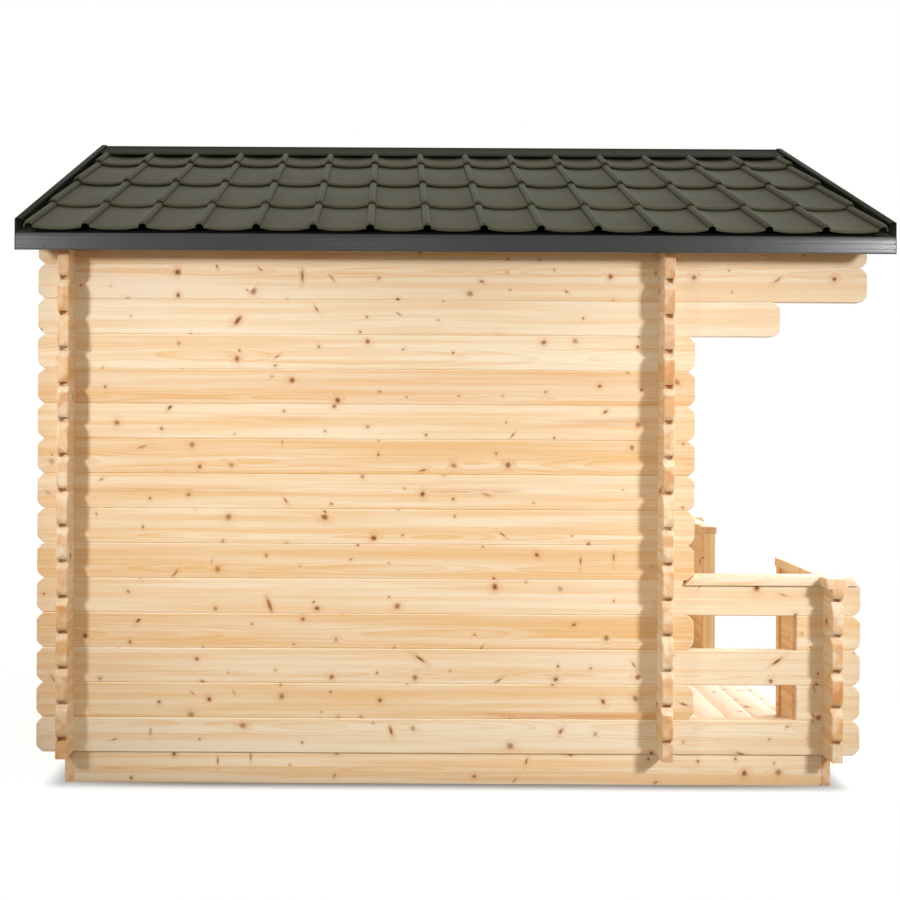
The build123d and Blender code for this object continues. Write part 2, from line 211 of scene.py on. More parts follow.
def planed_wood_pattern():
    """Grain, heartwood and knots of planed spruce, from the place along, across and up a timber."""
    inputs = {"Place": "Vector", "Tone": "Float", "Cut End": "Float"}
    inputs.update({label: "Color" for label in ("Pale", "Warm", "Heart", "Knot")})
    group, given, result = start_pattern("planed spruce", inputs)
    nodes = group.nodes
    tone = given["Tone"]

    plus = partial(maths, nodes, "ADD")
    minus = partial(maths, nodes, "SUBTRACT")
    times = partial(maths, nodes, "MULTIPLY")
    over = partial(maths, nodes, "DIVIDE")
    scaled = partial(maths, nodes, "MULTIPLY_ADD")
    power = partial(maths, nodes, "POWER")
    fraction = partial(maths, nodes, "FRACT")
    rise = partial(smooth_rise, nodes)

    def distance(first, second):
        return maths(nodes, "SQRT", plus(power(first, 2.0), power(second, 2.0)))

    def noise(stretch, detail=2.0, roughness=0.5):
        place = add_node(nodes, "Mapping", {"Scale": stretch, "Vector": given["Place"]})["Vector"]
        cloud = {"Scale": 1.0, "Detail": detail, "Roughness": roughness, "Vector": place}
        return add_node(nodes, "TexNoise", cloud)["Fac"]

    def fall(value, low, high):
        return minus(1.0, rise(value, low, high))

    def mixed(amount, first, second):
        shares = {"Factor": amount, "A": first, "B": second}
        return add_node(nodes, "Mix", shares, data_type="RGBA")["Result"]

    along, across, up = add_node(nodes, "SeparateXYZ", {0: given["Place"]})

    # Branch knots, each a short round peg through the timber, and some of them long spikes
    knot_spacing = (0.17, 0.075)
    knot_smallest = 0.0038
    knot_growth = 0.008
    knot_raggedness = 0.006
    board = {"X": over(along, knot_spacing[0]), "Y": over(up, knot_spacing[1])}
    board = add_node(nodes, "CombineXYZ", board)[0]
    cells = add_node(nodes, "TexVoronoi", {"Scale": 1.0, "Vector": board}, voronoi_dimensions="2D")
    centre = add_node(nodes, "SeparateXYZ", {0: cells["Position"]})
    chance = add_node(nodes, "SeparateColor", {0: cells["Color"]})
    off_along = minus(along, times(centre[0], knot_spacing[0]))
    off_up = minus(up, times(centre[1], knot_spacing[1]))
    lean = times(chance[2], 3.1)
    lean_cos, lean_sin = maths(nodes, "COSINE", lean), maths(nodes, "SINE", lean)
    long_way = scaled(off_up, lean_sin, times(off_along, lean_cos))
    short_way = minus(times(off_up, lean_cos), times(off_along, lean_sin))
    spike = rise(fraction(times(chance[2], 9.7)), 0.62, 0.95)
    long_way = over(long_way, scaled(spike, 1.6, 1.15))
    short_way = times(short_way, scaled(spike, 0.5, 1.0))
    ragged = scaled(noise((90, 90, 90)), knot_raggedness, -knot_raggedness / 2)
    reach = plus(distance(long_way, short_way), ragged)
    off_knot = over(reach, scaled(power(chance[1], 3.0), knot_growth, knot_smallest))
    there = times(rise(chance[0], 0.44, 0.46), scaled(chance[0], 1.1, -0.1))
    knot = times(fall(off_knot, 0.4, 1.15), there)
    ring_of_bark = times(fall(off_knot, 0.9, 1.7), there)
    halo = times(fall(off_knot, 0.8, 4.5), there)

    # Year rings about the pith, bent by slow waves along the trunk and by the knots
    year_ring = 0.0052
    trunk_wave = 0.06
    wave = scaled(noise((0.9, 4, 4)), trunk_wave, -trunk_wave / 2)
    ring = plus(plus(distance(across, up), wave), times(halo, 0.006))
    year = fraction(over(ring, year_ring))
    late = times(rise(year, 0.3, 0.9), fall(year, 0.92, 1.0))
    streak = noise((0.7, 30, 30), 3.0, 0.6)
    fine = noise((2.5, 260, 260), 2.0, 0.6)
    patch = noise((0.9, 5, 8), 1.0)

    # Early and late wood, then age, heartwood flames, cut ends and knots over them
    body = scaled(rise(streak, 0.32, 0.66), 0.7, times(late, 0.35))
    body = plus(body, scaled(tone, 0.5, -0.3))
    body = plus(body, scaled(fine, 0.3, -0.15), clamp=True)
    age = times(power(fraction(times(tone, 5.3)), 2.0), 0.15)
    core = fall(scaled(streak, 0.02, ring), 0.02, 0.04)
    flame = times(times(core, rise(patch, 0.5, 0.66)), rise(tone, 0.3, 0.6))
    flame = times(flame, scaled(late, 0.4, 0.45))
    end_blotch = times(rise(noise((0.9, 16, 16), 1.0), 0.44, 0.6), 0.4)
    end_tint = times(fraction(times(tone, 7.31)), 0.5)
    end_tint = times(given["Cut End"], plus(end_tint, end_blotch))
    colour = mixed(body, given["Pale"], given["Warm"])
    for amount in (age, flame, end_tint, times(halo, 0.28), times(ring_of_bark, 0.6)):
        colour = mixed(amount, colour, given["Heart"])
    colour = mixed(times(knot, 0.9), colour, given["Knot"])
    relief = minus(plus(times(late, 0.5), times(fine, 0.5)), knot)
    feed(result, {"Color": colour, "Roughness": scaled(late, 0.08, 0.5), "Height": relief})
    return group


planed_spruce = planed_wood_pattern()
grain_relief = 0.0004


def wood_material(name, pale, warm, own_grain=True):
    """Planed spruce. A modelled timber brings its own grain, a plain one takes it from its place."""
    material, nodes, shader = start_material(name)
    colours = {"Pale": pale, "Warm": warm, "Heart": spruce_heart, "Knot": spruce_knot}
    inputs = {label: (*colour, 1) for label, colour in colours.items()}
    if own_grain:
        for label, attribute, output in (
            ("Place", "grain", "Vector"),
            ("Tone", "tone", "Fac"),
            ("Cut End", "cut_end", "Fac"),
        ):
            inputs[label] = add_node(nodes, "Attribute", attribute_name=attribute)[output]
    else:
        inputs["Place"] = add_node(nodes, "TexCoord")["Object"]
        inputs["Tone"] = 0.5
    place_pattern(nodes, shader, planed_spruce, inputs, grain_relief, 0.5)
    feed(shader, {"Specular IOR Level": 0.25})
    return material


spruce_pale = (0.89, 0.78, 0.61)
spruce_warm = (0.80, 0.515, 0.235)
spruce_heart = (0.62, 0.27, 0.085)
spruce_knot = (0.135, 0.052, 0.014)
log_spruce = wood_material("log spruce", spruce_pale, spruce_warm)


def finish_piece(name, pieces, slot, *nodes, material=log_spruce):
    """Joins the pieces under one name, gives them their material and lets them stand for CAD nodes."""
    whole = join_pieces(name, pieces)
    whole.data.materials.clear()
    whole.data.materials.append(material)
    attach(whole, "root")
    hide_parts(*nodes)


log_thickness = 0.044
base_inset = 0.010
beam_thickness = log_thickness - base_inset
plank_easing = 0.002
base_low, base_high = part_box("base_cross_beams")
base_reach = base_high.y
base_height = base_high.z
side_beam_low, side_beam_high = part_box("base_side_beams")
front_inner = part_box("front_wall_odd_logs")[0].x
side_inner = base_reach - beam_thickness
cross_beam_starts = (base_low.x, front_inner, base_high.x - beam_thickness)


def add_plank(low, high, along, easing=plank_easing, segments=2, tone=None):
    """A planed plank with eased edges."""
    plank = add_timber(low, high)
    ease_edges(plank, easing, segments=segments)
    smooth_piece(plank)
    mark_grain(plank, along, tone)
    return plank


base_planks = []
for side in (-1, 1):
    across = sorted((side * side_inner, side * base_reach))
    low = (side_beam_low.x, across[0], 0)
    high = (side_beam_high.x, across[1], base_height)
    base_planks.append(add_plank(low, high, 0))
finish_piece("side_base_planks", base_planks, "base_timber", "base_side_beams")

base_planks = []
for start in cross_beam_starts:
    reach = side_inner if start == front_inner else base_reach
    low = (start, -reach, 0)
    high = (start + beam_thickness, reach, base_height)
    base_planks.append(add_plank(low, high, 1))
finish_piece("cross_base_planks", base_planks, "base_timber", "base_cross_beams")

joist_count = 5
for name in ("sauna_joists", "porch_joists"):
    joist_low, joist_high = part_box(name)
    pitch = (joist_high.y - joist_low.y - beam_thickness) / (joist_count - 1)
    joists = []
    for number in range(joist_count):
        start = joist_low.y + number * pitch
        low = (joist_low.x, start, 0)
        high = (joist_high.x, start + beam_thickness, base_height)
        joists.append(add_plank(low, high, 0))
    finish_piece(name.replace("joists", "floor_joists"), joists, "base_timber", name)

# Floors of planed boards laid across the joists, with small open joints.
# The sauna floor lies inside the walls, and the porch floor runs out through the entrance.

floor_board_width = 0.132
floor_joint = 0.0012


def lay_floor(top, start, end, reach):
    """Lays boards side by side along X, each one running across the cabin."""
    count = max(1, round((end - start) / floor_board_width))
    pitch = (end - start) / count
    boards = []
    for number in range(count):
        near = start + number * pitch + floor_joint / 2
        far = start + (number + 1) * pitch - floor_joint / 2
        boards.append(add_plank((near, -reach, base_height), (far, reach, top), 1))
    return boards


sauna_low, sauna_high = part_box("sauna_floor")
sauna_boards = lay_floor(sauna_high.z, sauna_low.x, sauna_high.x, sauna_high.y)
finish_piece("sauna_floor_boards", sauna_boards, "base_timber", "sauna_floor")

porch_low, porch_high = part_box("porch_floor")
porch_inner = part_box("left_rail_odd_logs")[0].x
entrance_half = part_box("right_rail_end_post")[0].y
porch_boards = lay_floor(porch_high.z, porch_low.x, porch_inner, porch_high.y)
porch_boards += lay_floor(porch_high.z, porch_inner, porch_high.x, entrance_half)
# The porch floor's spruce is paler than the logs: partly its own paler wood, partly painted light standing
# in for the strong light on the porch floor.
pale_lit_floor_spruce = wood_material("floor spruce with painted light", (0.97, 0.88, 0.77), (0.93, 0.76, 0.58))
finish_piece("porch_floor_boards", porch_boards, "base_timber", "porch_floor", material=pale_lit_floor_spruce)

# Log walls of planed spruce, notched into each other at the corners half a course out of step.
# Each log is milled with eased edges, chamfered where its end stands free, and grooved below.

course = 0.135
side_courses = 15
rail_courses = 5
end_chamfer = 0.023
end_softening = 0.008
log_easing = 0.0035
notch_depth = course / 4
groove_width = 0.030
groove_depth = 0.015
groove_length = 0.035
console_overhang = 0.427
rear_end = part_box("left_top_log")[0].x
eave_log_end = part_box("left_top_log")[1].x
side_outer = -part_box("left_top_log")[0].y
rear_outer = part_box("rear_wall_odd_logs")[0].x
front_outer = front_inner + log_thickness
log_overrun = rear_outer - rear_end
cross_end = side_outer + log_overrun
wall_log_end = front_outer + log_overrun
rail_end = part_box("left_corner_stubs")[1].x
console_end = front_outer + console_overhang
rail_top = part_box("left_rail_end_post")[1].z
eave_top = base_height + side_courses * course
roof_pitch = math.radians(22)
over_roof = 3
cut_past = 0.001
just = 1e-5


def under_roof(offset):
    """Height of the roof boards' underside at a distance from the ridge line."""
    return eave_top + (side_inner - offset) * math.tan(roof_pitch)


def trim(piece, point, normal, closed=True, sawn_off=True):
    """Saws a piece along a plane, takes off what lies beyond it and closes the cut."""
    open_piece(piece, "EDGE", any_part)
    bpy.ops.mesh.bisect(plane_co=point, plane_no=normal, use_fill=closed, clear_outer=sawn_off)
    close_piece()


def trim_to_roof(piece):
    """Saws off what stands above the roof boards' underside."""
    for side in (-1, 1):
        normal = (0, side * math.sin(roof_pitch), math.cos(roof_pitch))
        trim(piece, (0, 0, under_roof(0)), normal)


def apply_modifier(piece, name, kind, **settings):
    pick(piece)
    made = piece.modifiers.new(name, kind)
    for setting, value in settings.items():
        setattr(made, setting, value)
    bpy.ops.object.modifier_apply(modifier=name)


def cut_boxes(piece, boxes):
    """Cuts boxes, each given by two corners, out of a piece."""
    if not boxes:
        return
    cutter = join_pieces("cutter", [add_timber(low, high) for low, high in boxes])
    apply_modifier(piece, "cut", "BOOLEAN", operation="DIFFERENCE", solver="EXACT", object=cutter)
    bpy.data.objects.remove(cutter)


def corner(axis, along, across, height):
    """A point from its places along and across a log that lies on the X or Y axis."""
    return (along, across, height) if axis == 0 else (across, along, height)


def shape_log(axis, span, face, heights, free_ends, crossings, notch_below=True, cuts=()):
    """Mills one log. Its crossings are where the other walls' logs pass through it."""
    bottom, top = heights
    faces = (face, face + log_thickness)
    log = add_timber(corner(axis, span[0], face, bottom), corner(axis, span[1], faces[1], top))
    ends = [place for place, stands_free in zip(span, free_ends) if stands_free]

    def on_end_arris(corners):
        level = abs(corners[0].z - corners[1].z) < just
        return level and any(all(abs(c[axis] - end) < just for c in corners) for end in ends)

    def across_end(corners):
        crosses = abs(corners[0][1 - axis] - corners[1][1 - axis]) > log_thickness / 2
        return crosses and any(abs(corners[0][axis] - end) < end_chamfer + just for end in ends)

    def on_face(corners):
        return any(all(abs(c[1 - axis] - side) < just for c in corners) for side in faces)

    def slot(along, across, height):
        """Two corners of a cut from its spans along, across and up the log."""
        return [corner(axis, *place) for place in zip(along, across, height)]

    if ends:
        ease_edges(log, end_chamfer, on_end_arris, 1)
        ease_edges(log, end_softening, across_end, 3)
    ease_edges(log, log_easing, on_face, 1)
    smooth_piece(log)
    boxes = []
    wide = (face - cut_past, face + log_thickness + cut_past)
    for place in crossings:
        notch = (place, place + log_thickness)
        boxes.append(slot(notch, wide, (top - notch_depth, top + cut_past)))
        if notch_below:
            boxes.append(slot(notch, wide, (bottom - cut_past, bottom + notch_depth)))
    middle = face + log_thickness / 2
    narrow = (middle - groove_width / 2, middle + groove_width / 2)
    for end in ends if notch_below else ():
        inner = end + groove_length if end == span[0] else end - groove_length
        boxes.append(slot(sorted((inner, end)), narrow, (bottom - cut_past, bottom + groove_depth)))
    cut_boxes(log, boxes)
    cut_boxes(log, cuts)
    return log


def side_heights(number):
    """Bottom and top of a side log, counted from 1 at the base."""
    return base_height + (number - 1) * course, base_height + number * course


def cross_heights(number):
    """Bottom and top of a cross log. Number 0 is the half log on the base."""
    first = base_height + course / 2
    return (base_height, first) if number == 0 else (first + (number - 1) * course, first + number * course)


cap_seat_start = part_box("left_side_cap")[0].x
cap_seat_clearance = 0.1
side_faces = {"left": -side_outer, "right": side_inner}
for side_name, face in side_faces.items():
    logs = []
    for number in range(1, side_courses + 1):
        end = wall_log_end
        crossings = [rear_outer, front_inner]
        cuts = []
        if number in (1, 3, rail_courses):
            end = rail_end
            crossings.append(porch_inner)
        if number == rail_courses:
            low = (cap_seat_start, face - cut_past, rail_top)
            high = (rail_end + cut_past, face + log_thickness + cut_past, rail_top + cap_seat_clearance)
            cuts.append((low, high))
        if number == side_courses - 2:
            end = console_end
        if number > side_courses - 2:
            end = eave_log_end
        ends = (rear_end, end)
        log = shape_log(0, ends, face, side_heights(number), (True, True), crossings, cuts=cuts)
        if number == side_courses:
            trim_to_roof(log)
        mark_grain(log, 0, tone_step * (number % 6) if end > wall_log_end else None)
        logs.append(log)
    nodes = [f"{side_name}_{part}" for part in ("wall_odd_logs", "wall_even_logs", "top_log")]
    finish_piece(f"{side_name}_wall_logs", logs, "spruce_logs", *nodes)

    stubs = []
    stub_ends = (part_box(f"{side_name}_corner_stubs")[0].x, rail_end)
    for number in (2, 4):
        stub = shape_log(0, stub_ends, face, side_heights(number), (False, True), [porch_inner])
        mark_grain(stub, 0, 2 * tone_step * number)
        stubs.append(stub)
    finish_piece(f"{side_name}_corner_short_logs", stubs, "spruce_logs", f"{side_name}_corner_stubs")

gable_logs = 18
purlin_log = 16
door_logs = 13
purlin_inner = 0.588
purlin_outer = 0.632
purlin_bottom = cross_heights(purlin_log)[0]
ridge_beam_half = log_thickness / 2
ridge_beam_bottom = cross_heights(gable_logs)[0]
door_low, door_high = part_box("door_frame")

for wall_name, start in (("rear", rear_outer), ("front", front_inner)):
    low_x, high_x = start - cut_past, start + log_thickness + cut_past
    seats = [
        ((low_x, -ridge_beam_half, ridge_beam_bottom), (high_x, ridge_beam_half, over_roof)),
        ((low_x, -purlin_outer, purlin_bottom), (high_x, -purlin_inner, over_roof)),
        ((low_x, purlin_inner, purlin_bottom), (high_x, purlin_outer, over_roof)),
    ]
    doorway = ((low_x, -door_high.y, door_low.z), (high_x, door_high.y, door_high.z))
    logs = []
    for number in range(gable_logs + 1):
        heights = cross_heights(number)
        free = (number > 0, number > 0)
        crossings = [-side_outer, side_inner] if number <= side_courses else []
        cuts = [seat for seat in seats if seat[0][2] < heights[1] - just]
        if wall_name == "front" and 0 < number <= door_logs:
            cuts.append(doorway)
        log = shape_log(1, (-cross_end, cross_end), start, heights, free, crossings, number > 0, cuts)
        if number >= side_courses:
            trim_to_roof(log)
        mark_grain(log, 1)
        logs.append(log)
    nodes = [f"{wall_name}_wall_{parity}_logs" for parity in ("odd", "even")]
    finish_piece(f"{wall_name}_gable_logs", logs, "spruce_logs", *nodes)

# Porch rails: short logs across the front either side of the entrance, with a planed upright
# on their free ends and planed caps screwed down on top, half lapped at the corner.

post_thickness = 0.038
# The posts' warm tone is painted shade: it stands in for the warm orange the posts take in the shaded porch.
post_painted_shade_tone = 0.95
cap_easing = 0.004
cap_bevel = 0.025
cap_planed_off = 0.006
sides = {"left": -1, "right": 1}


def plane_cap(name, low, high, saw_cuts, lap, along, tone, node):
    """Planes a rail cap, with sawn ends, softened edges and its half of the lap at the corner."""
    cap = add_timber(low, high)
    for point, normal in saw_cuts:
        trim(cap, point, normal)
    ease_edges(cap, cap_easing, segments=3)
    smooth_piece(cap)
    cut_boxes(cap, [lap])
    # The cap's level top is painted paler too, a painted highlight where light from above falls on it.
    mark_grain(cap, along, tone, level_tops_highlighted)
    finish_piece(name, [cap], "planed_timber", node)


for side_name, side in sides.items():
    span = sorted((side * (entrance_half + post_thickness), side * cross_end))
    crossing = [side_faces[side_name]]
    logs = []
    for number in range(rail_courses + 1):
        ends = (number > 0 and side < 0, number > 0 and side > 0)
        log = shape_log(1, span, porch_inner, cross_heights(number), ends, crossing, number > 0)
        if number == rail_courses:
            trim(log, (0, 0, rail_top), (0, 0, 1))
        mark_grain(log, 1)
        logs.append(log)
    nodes = [f"{side_name}_rail_{parity}_logs" for parity in ("odd", "even")]
    finish_piece(f"{side_name}_porch_rail_logs", logs, "spruce_logs", *nodes)

    node = f"{side_name}_rail_end_post"
    post = add_plank(*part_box(node), 2, cap_easing, 3, post_painted_shade_tone)
    finish_piece(f"{side_name}_porch_post", [post], "planed_timber", node)

    low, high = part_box(f"{side_name}_side_cap")
    front_low, front_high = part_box(f"{side_name}_front_cap")
    outer_end = side * max(abs(front_low.y), abs(front_high.y))
    cap_height = high.z - low.z
    lap_height = (low.z + high.z) / 2
    low.y += cap_planed_off
    high.y -= cap_planed_off
    front_low.x += cap_planed_off
    front_high.x -= cap_planed_off
    saw_cuts = [((low.x, 0, low.z), (-1, 0, 1)), ((high.x, 0, low.z), (cap_height, 0, cap_bevel))]
    lap = ((front_low.x, low.y - cut_past, lap_height), (front_high.x, high.y + cut_past, high.z + cut_past))
    name = f"{side_name}_side_rail_cap"
    plane_cap(name, low, high, saw_cuts, lap, 0, 2 * tone_step, f"{side_name}_side_cap")
    saw_cuts = [
        ((0, outer_end, front_low.z), (0, side * cap_height, cap_bevel)),
        ((0, side * entrance_half, 0), (0, -side, 0)),
    ]
    lap = (
        (front_low.x - cut_past, low.y, front_low.z - cut_past),
        (front_high.x + cut_past, high.y, lap_height),
    )
    name = f"{side_name}_front_rail_cap"
    plane_cap(name, front_low, front_high, saw_cuts, lap, 1, 4 * tone_step, f"{side_name}_front_cap")

# Ridge beam and two purlins of planed spruce that pass through both gables and carry the boards.
# Their upper faces are planed to the roof's slope.


def add_roof_timber(low, high):
    """A planed timber that runs along the cabin under the roof boards."""
    timber = add_timber(low, high)
    ease_edges(timber, plank_easing)
    trim_to_roof(timber)
    smooth_piece(timber)
    mark_grain(timber, 0)
    return timber


ridge_low, ridge_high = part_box("ridge_beam")
beam = add_roof_timber(ridge_low, (ridge_high.x, ridge_high.y, over_roof))
finish_piece("roof_ridge_beam", [beam], "spruce_logs", "ridge_beam")

purlins = []
for side in sides.values():
    across = sorted((side * purlin_inner, side * purlin_outer))
    low = (rear_end, across[0], purlin_bottom)
    purlins.append(add_roof_timber(low, (eave_log_end, across[1], over_roof)))
finish_piece("roof_purlins", purlins, "spruce_logs", "purlins")

# Roof boards: planed tongue and groove spruce from the ridge to the eaves, V-jointed below.
# The battens over them are hidden by the tiles and keep their CAD shape.

eave_line = 1.360
slope_length = eave_line / math.cos(roof_pitch)
board_thickness = 0.019
board_count = 35
board_joint = 0.0008
board_v_joint = 0.003
board_eave_gap = 0.0045
board_overlength = 0.05
sheet_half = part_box("left_roof_boards")[1].x


def lay_on_slope(piece, side):
    """Turns a piece made flat, with X along the eave and Y up the slope, on to one slope."""
    pick(piece)
    piece.location = (0, side * eave_line, under_roof(eave_line))
    piece.rotation_euler = (roof_pitch, 0, 0 if side < 0 else math.pi)
    bpy.ops.object.transform_apply(location=True, rotation=True, scale=True)


def copy_piece(piece, shift):
    """A copy with its own mesh, moved by a shift."""
    twin = piece.copy()
    twin.data = piece.data.copy()
    bpy.context.collection.objects.link(twin)
    twin.data.transform(Matrix.Translation(shift))
    return twin


def trim_upright(piece, run, outward, closed=True):
    """Cuts a flat-made piece with what will be an upright plane, down or up the slope."""
    normal = (0, outward * math.cos(roof_pitch), -outward * math.sin(roof_pitch))
    trim(piece, (0, run, 0), normal, closed)


def on_underside(corners):
    return all(c.z < just for c in corners)


for side_name, side in sides.items():
    board_pitch = 2 * sheet_half / board_count
    boards = []
    for number in range(board_count):
        near = -sheet_half + number * board_pitch + board_joint / 2
        far = near + board_pitch - board_joint
        high = (far, slope_length + board_overlength, board_thickness)
        board = add_timber((near, -board_overlength, 0), high)
        ease_edges(board, board_v_joint, on_underside, 1)
        trim_upright(board, board_eave_gap, -1)
        trim_upright(board, slope_length, 1)
        mark_grain(board, 1)
        lay_on_slope(board, side)
        boards.append(board)
    finish_piece(f"{side_name}_roof_boarding", boards, "roof_boards", f"{side_name}_roof_boards")

# Roof battens, spruce laths screwed through the boards, under the tile sheets.
# They are out of sight, so the CAD shape stays and only takes the wood finish.

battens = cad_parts["roof_battens"]
battens.data.materials.clear()
battens.data.materials.append(wood_material("hidden spruce", spruce_pale, spruce_warm, own_grain=False))

# Tile sheets of pressed and painted steel, one on each slope, in four stepped courses.
# Wide hollow pans run between narrow rolls, and each course ends in a turned-down lip.


def painted_metal_pattern():
    """Slight unevenness of a satin coat of paint: tone, sheen and a fine orange-peel relief."""
    inputs = {"Place": "Vector", "Paint": "Color", "Sheen": "Float"}
    group, given, result = start_pattern("satin paint", inputs)
    nodes = group.nodes
    noises = []
    for scale, detail in ((3.0, 3.0), (14.0, 2.0), (900.0, 1.0)):
        cloud = {"Scale": scale, "Detail": detail, "Vector": given["Place"]}
        noises.append(add_node(nodes, "TexNoise", cloud)["Fac"])
    broad, smudge, peel = noises
    shade = maths(nodes, "MULTIPLY_ADD", broad, 0.5, 0.75)
    tint = add_node(nodes, "VectorMath", {0: given["Paint"], "Scale": shade}, operation="SCALE")
    gloss = maths(nodes, "MULTIPLY_ADD", smudge, 0.07, given["Sheen"])
    feed(result, {"Color": tint[0], "Roughness": gloss, "Height": peel})
    return group


satin_paint = painted_metal_pattern()
peel_relief = 0.0001


def painted_metal(name, paint, sheen, bare=0.0, gleam=0.5):
    """Steel with a satin coat of paint."""
    material, nodes, shader = start_material(name)
    where = add_node(nodes, "TexCoord")["Object"]
    inputs = {"Paint": (*paint, 1), "Sheen": sheen, "Place": where}
    place_pattern(nodes, shader, satin_paint, inputs, peel_relief, 0.1)
    feed(shader, {"Metallic": bare, "Specular IOR Level": gleam})
    return material


tile_paint = painted_metal("tile paint", (0.073, 0.077, 0.050), 0.47, gleam=0.12)
trim_paint = painted_metal("trim paint", (0.014, 0.015, 0.015), 0.25)
ridge_paint = painted_metal("ridge paint", (0.043, 0.048, 0.041), 0.6, gleam=0.03)


def fold_on(shifts):
    """Carries the open edge on by each shift in turn."""
    for shift in shifts:
        bpy.ops.mesh.extrude_region_move(TRANSFORM_OT_translate={"value": shift})


def fold_sheet(path, reach):
    """Folds a sheet as long as the reach from bend to bend of a path, and leaves it open."""
    bpy.ops.object.select_all(action="DESELECT")
    bpy.ops.mesh.primitive_plane_add(size=0.01, location=path[0])
    bpy.ops.object.transform_apply(location=True, rotation=True, scale=True)
    sheet = bpy.context.object
    open_piece(sheet, "EDGE", any_part)
    bpy.ops.mesh.select_mode(type="VERT")
    bpy.ops.mesh.select_all(action="SELECT")
    bpy.ops.mesh.merge(type="CENTER")
    fold_on([reach])
    bpy.ops.mesh.select_all(action="SELECT")
    fold_on([[b - a for a, b in zip(*pair)] for pair in zip(path, path[1:])])
    return sheet


def turn_over(piece):
    """Turns all faces of a piece to look the other way."""
    open_piece(piece, "FACE", any_part)
    bpy.ops.mesh.flip_normals()
    close_piece()


def face_outwards(piece, outward):
    """Turns an open sheet so that its first face looks the given way."""
    open_piece(piece, "FACE", any_part)
    bpy.ops.mesh.normals_make_consistent(inside=False)
    close_piece()
    total = Vector((0, 0, 0))
    for face in piece.data.polygons:
        total += face.normal * face.area
    if total.dot(Vector(outward)) < 0:
        turn_over(piece)


tile_courses = 4
eave_step = 0.362
tile_step = 0.402
tile_seat = 0.051
tile_lip = 0.022
tile_fall = 0.016
tile_back = 0.49
tile_half = 1.606
roll_pitch = 0.2116
roll_half = 0.015
roll_height = 0.025
roll_turn = math.radians(100)
roll_steps = 5
shoulder_height = 0.010
pan_edge = 0.004
pan_steps = 14
pan_rise = 0.8
pan_curve = 2.6
sheet_gauge = 0.0008
weld_reach = 0.0001
lip_run = (tile_seat + tile_lip) * math.tan(roof_pitch)
lip_nose = ((0, -0.0036, -0.0010), (0, -0.0027, -0.0030), (0, -0.0006, -0.0045), (0, 0.002, -0.0030))


def on_lip(corners):
    return all(abs(c.y - lip_run) < just for c in corners)


half_roll = []
for step in range(roll_steps + 1):
    turn = roll_turn * step / roll_steps
    up = shoulder_height + (roll_height - shoulder_height) * math.cos(turn)
    half_roll.append((roll_half * math.sin(turn), up))
pan_half = roll_pitch / 2 - roll_half - pan_edge
tile_section = [(across - roll_pitch / 2, up) for across, up in half_roll]
for step in range(pan_steps + 1):
    off = (2 * step / pan_steps - 1) * pan_half
    up = shoulder_height * pan_rise * (abs(off) / pan_half) ** pan_curve
    tile_section.append((off, up))
tile_section += [(roll_pitch / 2 - across, up) for across, up in reversed(half_roll)]

fall_back = -tile_fall * tile_back / tile_step
path = [(across, lip_run, tile_seat + tile_lip + up) for across, up in tile_section]
pan = fold_sheet(path, (0, tile_back, fall_back))
bpy.ops.mesh.select_mode(type="EDGE")
close_piece()
open_piece(pan, "EDGE", on_lip)
fold_on(lip_nose)
close_piece()
pan_count = 2 * math.ceil((tile_half - roll_pitch / 2) / roll_pitch) + 1
pan.data.transform(Matrix.Translation((-roll_pitch * (pan_count - 1) / 2, 0, 0)))
side_by_side = {
    "count": pan_count,
    "use_relative_offset": False,
    "use_constant_offset": True,
    "constant_offset_displace": (roll_pitch, 0, 0),
    "use_merge_vertices": True,
    "merge_threshold": weld_reach,
}
apply_modifier(pan, "pans", "ARRAY", **side_by_side)
for end in (-1, 1):
    trim(pan, (end * tile_half, 0, 0), (end, 0, 0), closed=False)
courses = [pan]
for number in range(1, tile_courses):
    courses.append(copy_piece(pan, (0, eave_step + (number - 1) * tile_step, 0)))
tiles = join_pieces("left_tiles", courses)
trim_upright(tiles, slope_length, 1, closed=False)
face_outwards(tiles, (0, 0, 1))
apply_modifier(tiles, "gauge", "SOLIDIFY", thickness=sheet_gauge, offset=-1)
smooth_piece(tiles, 50)
sheets = {"left": tiles, "right": copy_piece(tiles, (0, 0, 0))}
for side_name, sheet in sheets.items():
    lay_on_slope(sheet, sides[side_name])
    node = f"{side_name}_tile_sheet"
    finish_piece(f"{side_name}_pressed_tiles", [sheet], "roof_tiles", node, material=tile_paint)

# Ridge cap, fascias and verge trims, folded from flat painted steel and screwed on.
# The cap rests on the rolls, the fascias close the eaves, and the verges cover the sheet ends.

trim_gauge = 0.0012
tight_bend = 0.0012
verge_bend = 0.0015


def folded_trim(path, reach, outward, radius):
    """Folds a trim through the points of its section and gives it its thickness."""
    sheet = fold_sheet(path, reach)
    close_piece()
    span = Vector(reach).normalized()
    near_bends = path[1:-1]
    far_bends = [tuple(a + b for a, b in zip(point, reach)) for point in near_bends]

    def on_bend(corners):
        runs_along = abs((corners[0] - corners[1]).normalized().dot(span)) > 0.999
        bends = near_bends + far_bends
        return runs_along and any((corners[0] - Vector(bend)).length < just for bend in bends)

    ease_edges(sheet, radius, on_bend, 3)
    face_outwards(sheet, outward)
    apply_modifier(sheet, "gauge", "SOLIDIFY", thickness=trim_gauge, offset=-1)
    smooth_piece(sheet, 35)
    return sheet


def on_slope(side, run, rise):
    """Y and Z of a point from its distance up the slope and its height square to it."""
    across = eave_line - run * math.cos(roof_pitch) + rise * math.sin(roof_pitch)
    up = under_roof(eave_line) + run * math.sin(roof_pitch) + rise * math.cos(roof_pitch)
    return side * across, up


